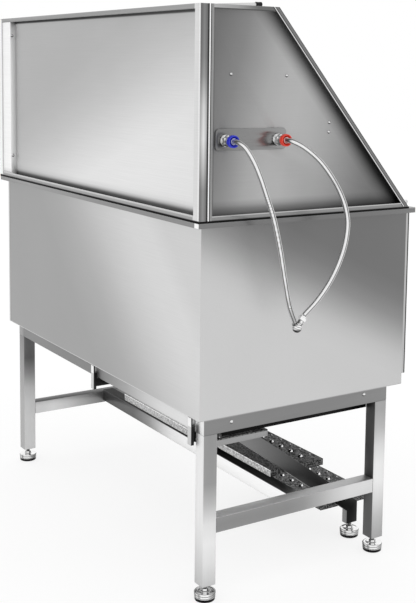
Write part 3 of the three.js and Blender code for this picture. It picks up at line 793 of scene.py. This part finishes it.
def add_legs():
    # Painted light and shade by height, in one copy of the steel for each leg's place; the far legs are
    # painted darker as shade.
    near = steel("leg_near_steel", [
        ramp(Z, (40, 206), (100, 229), (150, 236), (200, 226), (250, 188), (300, 157), (420, 154))], [
        ramp(Z, (40, 200), (100, 216), (150, 227), (200, 233), (420, 238))],
        150, grain="z", roughness=0.5)
    front = steel("leg_front_steel", [
        ramp(Z, (40, 176), (100, 196), (150, 220), (200, 236), (250, 235), (300, 220), (350, 190),
             (400, 172))], 94, 150, grain="z", roughness=0.5)
    far = steel("leg_far_steel", [
        ramp(Z, (150, 207), (200, 204), (250, 194), (300, 150), (350, 108), (420, 128))], [
        ramp(Z, (200, 180), (420, 150))], 150, grain="z", roughness=0.5)
    refine("leg_rear_near", near, 1.6)
    refine("leg_front_near", front, 1.6)
    refine("leg_rear_far", far, 1.6)
    refine("leg_front_far", far, 1.6)


def add_end_rails():
    """Rails across the ends, each with a skirt below painted near black as shade, and a plate that
    closes its front.
    """
    # Skirt painted near black as shade.
    skirt = steel("skirt_shade_steel", 20, 30, 20, grain="y")
    # Tone of the rails' ends: painted light at the near end, painted shade at the far end; a painted
    # highlight runs along each rail's top edge.
    end_tone = {"near": 236, "far": 150}
    for end, x in LEG_X.items():
        rail = steel(f"end_rail_{end}_steel", [133, band(150, (Z, 458, 462))], end_tone[end], 64,
                     grain="y")
        refine(f"end_rail_{end}", rail, 1.0, [(skirt, lambda p, n: p.z < 421.5)],
               lambda bm, x=x: block(bm, (x - 18, x + 18), (-270, -266), (424, 460), 0.4))


def add_long_rails():
    # Painted light and shade: the long faces lighter towards the near end.
    long_rail = steel("rear_rail_steel", 150, [
        ramp(X, (-500, 228), (-400, 222), (-300, 202), (-200, 172), (-100, 150), (0, 138), (560, 142))],
        72, roughness=0.5)
    refine("rear_rail", long_rail, 1.6)
    refine("front_rail", long_rail, 1.6)


def add_stretchers():
    # Painted light and shade; the long stretcher's top is painted dark as shade under the treads.
    near = steel("stretcher_near_steel", [
        ramp(Y, (-200, 225), (-150, 223), (-100, 207), (-50, 181), (0, 157), (50, 147), (255, 147))],
        150, [ramp(Y, (-230, 190), (-120, 212), (20, 240), (250, 255))], grain="y", roughness=0.55)
    far = steel("stretcher_far_steel", [
        ramp(Y, (25, 127), (50, 148), (100, 178), (150, 204), (200, 216), (240, 208))],
        150, 74, grain="y")
    spine = steel("spine_steel", 150, [
        ramp(X, (-100, 255), (50, 250), (100, 234), (200, 172), (300, 133), (500, 127))], [
        ramp(X, (-560, 150), (-350, 84), (0, 58), (500, 48))], glance=0.45)
    refine("end_stretcher_near", near, 1.6)
    refine("end_stretcher_far", far, 1.6)
    refine("long_stretcher", spine, 1.6)


add_legs()
add_end_rails()
add_long_rails()
add_stretchers()
dots("end_rail_near", [((-609.9, 224, 446), -X), ((-609.9, -192, 450), -X)],
     CHROME_FITTING, 5, 2.6, "screws")


# ---- steps ----
# Each tread's two ends in x, its rear edge in y and its top in z.
TREADS = {"top": (-522, -52, 231, 372), "middle": (-474.7, -99.3, 11, 237),
          "bottom": (-474.7, -99.3, -161, 106)}
TREAD_DEPTH = 176
SHEET = 2.5             # thickness of a tread's sheet
LIP = 18                # height of the flanges under a tread's four edges
HOLE_RADIUS = 3
HOLE_PITCH = 47
END_MARGIN = 15         # room left between the holes and a tread's ends
FRONT_ROW = 44          # places of the rows of holes, from a tread's front edge
REAR_ROW = {"top": 112, "middle": 112, "bottom": 142}
KNOB_OFFSET = 32        # a small knob lies this far in front of each hole


def flat_with_holes(outline, holes, thickness):
    """Plate in X and Y with holes, in millimetres, standing on z = 0."""
    curve = bpy.data.curves.new("outline", "CURVE")
    curve.dimensions = "2D"
    curve.fill_mode = "BOTH"
    curve.extrude = thickness * MM / 2
    for loop in [outline, *holes]:
        spline = curve.splines.new("POLY")
        spline.points.add(len(loop) - 1)
        for point, (x, y) in zip(spline.points, loop):
            point.co = (x * MM, y * MM, 0, 1)
        spline.use_cyclic_u = True
    shape = bpy.data.objects.new("outline", curve)
    bpy.context.scene.collection.objects.link(shape)
    filled = shape.evaluated_get(bpy.context.evaluated_depsgraph_get())
    mesh = bpy.data.meshes.new_from_object(filled)
    bpy.data.objects.remove(shape)
    bpy.data.curves.remove(curve)
    bm = bmesh.new()
    bm.from_mesh(mesh)
    bpy.data.meshes.remove(mesh)
    bmesh.ops.remove_doubles(bm, verts=bm.verts, dist=1e-6)
    bmesh.ops.translate(bm, verts=bm.verts, vec=(0, 0, thickness * MM / 2))
    return bm


def circle(x, y, radius):
    sides = 16
    angles = [2 * math.pi * i / sides for i in range(sides)]
    return [(x + radius * math.cos(a), y + radius * math.sin(a)) for a in angles]


def crater(bm, x, y, z):
    """Adds the raised rim round a drain hole."""
    profile = [(7, -0.4), (6, 2.2), (4.4, 4.4), (3.5, 4.6), (3.1, 3.8), (HOLE_RADIUS, -0.4)]
    turned(bm, [*profile, profile[0]], Vector((x, y, z)) * MM, sides=20)


def add_tread(name, plate, plate_end, flange, raised):
    """Tread with flanges under its edges and two rows of drain holes with craters and knobs."""
    x0, x1, rear, top = TREADS[name]
    front = rear - TREAD_DEPTH
    count = int((x1 - x0 - 2 * END_MARGIN) // HOLE_PITCH)
    middle = (x0 + x1) / 2
    holes = [(middle + (i - (count - 1) / 2) * HOLE_PITCH, y)
             for y in (front + FRONT_ROW, front + REAR_ROW[name]) for i in range(count)]

    bm = flat_with_holes([(x0, front), (x1, front), (x1, rear), (x0, rear)],
                         [circle(x, y, HOLE_RADIUS) for x, y in holes], SHEET)
    bmesh.ops.translate(bm, verts=bm.verts, vec=(0, 0, (top - SHEET) * MM))
    between = (front + SHEET, rear - SHEET)
    for x, y in (((x0, x1), (rear - SHEET, rear)), ((x0, x1), (front, front + SHEET)),
                 ((x0, x0 + SHEET), between), ((x1 - SHEET, x1), between)):
        block(bm, x, y, (top - LIP, top - SHEET + 0.1), 0.5)
    made = piece(f"steps_tread_{name}_plate", to_mesh(bm), plate, "steps",
                 [f"steps_tread_{name}"])
    made.data.materials.append(plate_end)
    made.data.materials.append(flange)
    for face in made.data.polygons:
        if name == "top" and abs(face.normal.x) > 0.7 and face.center.z < (top - 3) * MM:
            face.material_index = 1
        elif name != "bottom" and face.normal.y > 0.5 and face.center.y > (rear - 2) * MM:
            face.material_index = 2

    bm = bmesh.new()
    for x, y in holes:
        crater(bm, x, y, top)
    for x, y in holes:
        dome(bm, Vector((x, y - KNOB_OFFSET, top)) * MM, Z, 2.8, 1.7, 10)
    bmesh.ops.remove_doubles(bm, verts=bm.verts, dist=1e-6)
    piece(f"steps_tread_{name}_grip", to_mesh(bm), raised, "steps")


def add_treads():
    # Painted light and shade: the treads painted dark as shade under the tub, painted highlight lines
    # along the flanges' top edges, and teeth painted dark on one side and bright on the other.
    plate = steel("tread_steel", 84, 84, 104, speckle=0.7, glance=0.35)
    plate_end = steel("tread_end_steel", 156, 170, 60)
    flange = steel("tread_flange_steel", 150, [
        172, band(250, (Z, 370, 374)), band(246, (Z, 235.4, 239))], 60, speckle=0.3)
    raised = chrome("tread_tooth_chrome", ACROSS, [
        (-1, 8), (-0.2, 16), (0.1, 220), (0.3, 255), (1, 255)])
    for name in TREADS:
        add_tread(name, plate, plate_end, flange, raised)


def add_steps():
    # Painted light and shade: the stringers darker towards the front, the hooks' sides painted dark as
    # shade with a painted highlight band on their faces.
    near = steel("stringer_near_steel", [
        ramp(Y, (-274, 22), (-180, 28), (-100, 52), (0, 96), (120, 130))], 130, 110, grain="y")
    far = steel("stringer_far_steel", [
        ramp(Y, (-274, 60), (140, 40))], 120, 90, grain="y", speckle=0.5)
    hook = steel("hook_steel", 40, [204, band(244, (Z, 436, 460))], 120, grain="z")
    hook_bar = steel("hook_bar_steel", 60, [
        ramp(X, (-580, 205), (-520, 196), (-100, 150), (0, 120))], 90, speckle=0.25)
    for end, stringer in (("near", near), ("far", far)):
        refine(f"steps_stringer_{end}", stringer, 0.8)
        refine(f"steps_hook_{end}", hook, 0.7)
    refine("steps_hook_bar", hook_bar, 0.6)
    add_treads()


add_steps()


# ---- door, plumbing and fittings ----
def add_door():
    # Painted light and shade by height; the pull darker towards its bottom.
    guide = steel("guide_steel", [186, band(50, (Y, -333, -325.6), soft=0.5)],
                  [ramp(Z, (490, 150), (700, 214), (945, 190))], 180, grain="z")
    door = steel("door_steel", 205, [
        ramp(Z - 0.35 * X, (560, 150), (700, 186), (860, 226), (1000, 232), (1150, 190))], 190)
    pull = steel("pull_steel", 120, [ramp(Z, (840, 90), (870, 200), (904, 235))], 100)
    refine("door_guide_left", guide, 0.7)
    refine("door_guide_right", guide, 0.7)
    refine("door_sill", door, 0.6)
    refine("door_panel", door, 0.8)
    refine("door_pull", pull, 0.6)


def add_fittings():
    # Painted light and shade on the plate, tray and rod.
    plate = steel("plate_steel", [
        ramp(Y, (80, 150), (150, 140), (230, 132), (290, 118))], 140, 150, grain="y", roughness=0.3)
    tray = steel("tray_steel", [ramp(Z, (1262, 150), (1292, 210))], 180, 200)
    rod = steel("rod_steel", 214, [ramp(Z, (1405, 160), (1450, 190), (1470, 190))], [
        ramp(Z, (1450, 120), (1466, 235))], grain="y")
    refine("plumbing_plate", plate, 0.3)
    refine("soap_tray", tray, 0.6)
    refine("leash_rod", rod, 0.5)
    refine("leash_rod_cap", BLACK, 0.4)
    refine("floor_grate_near", tray, 0.8)
    refine("floor_grate_far", tray, 0.8)
    for name in ("mixer_body", "handle_cold", "handle_hot", "sprayer_holder", "drain_body",
                 "drain_strainer"):
        refine(name, CHROME_FITTING, 0.8)


add_door()
add_fittings()


# ---- levelling feet ----
# Turned profiles of a foot: radius, and height above the floor.
CUP = [(0, 5.1), (25.4, 5.1), (26.2, 6.6), (26.2, 9.4), (25.3, 10.1), (25.3, 11.3), (26.6, 12.2),
       (26.6, 15.4), (25.7, 16.1), (25.7, 17.3), (27, 18.2), (27, 20.6), (26.2, 22), (24.8, 22.4),
       (22, 21.6), (12, 20.8), (11, 21.4), (10.6, 22.6), (0, 22.6)]
THREAD = [(6.0 if i % 2 else 5.2, 30 + i * 0.75) for i in range(13)]
PAD = [(0, 0.6), (18, 0.6), (18.6, 0), (23, 0), (25, 1.2), (25.4, 2.4), (25.4, 4.4), (24.8, 5), (0, 5)]


def add_foot(name, body):
    """Ribbed cup with a nut and a threaded stem, over a rubber pad."""
    low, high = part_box(f"foot_cup_{name}")
    at = Vector(((low.x + high.x) / 2, (low.y + high.y) / 2, 0))
    bm = bmesh.new()
    turned(bm, CUP, at, sides=64)
    hexagon(bm, at + Z * 22.4 * MM, Z, 7.6, 9.2)
    turned(bm, [(0, 29.6), *THREAD, (0, 39.6)], at, sides=32)
    piece(f"foot_cup_{name}_turned", to_mesh(bm), CHROME_FOOT, body,
          [f"foot_cup_{name}"], sharp=40)
    bm = bmesh.new()
    turned(bm, PAD, at, sides=64)
    piece(f"foot_pad_{name}_moulded", to_mesh(bm), RUBBER, body,
          [f"foot_pad_{name}"], sharp=40)


for row in ("rear", "front", "steps"):
    for end in ("near", "far"):
        add_foot(f"{row}_{end}", f"foot_{row}_{end}")


# ---- stage ----
def add_stage():
    """White floor that glows a little, so that it meets the background but still takes shadows."""
    s = Shader("floor")
    color = s.ramp(s.noise(2), [(0.3, 124), (0.7, 127)])
    s.finish(color, 1.0, 0.0, Specular_IOR_Level=0.0, Emission_Color=(1, 1, 1, 1),
             Emission_Strength=0.81)
    bm = bmesh.new()
    bmesh.ops.create_circle(bm, cap_ends=True, segments=64, radius=20)
    mesh = to_mesh(bm)
    mesh.materials.append(s.material)
    floor = bpy.data.objects.new("floor", mesh)
    floor.location.z = -0.0005
    bpy.context.scene.collection.objects.link(floor)


def add_light():
    """Even white light from all sides."""
    world = bpy.data.worlds.new("studio")
    world.use_nodes = True
    bpy.context.scene.world = world
    background = world.node_tree.nodes["Background"]
    background.inputs["Color"].default_value = (1, 1, 1, 1)
    background.inputs["Strength"].default_value = 1.0
    bpy.context.scene.view_settings.view_transform = "Standard"


add_stage()
add_light()
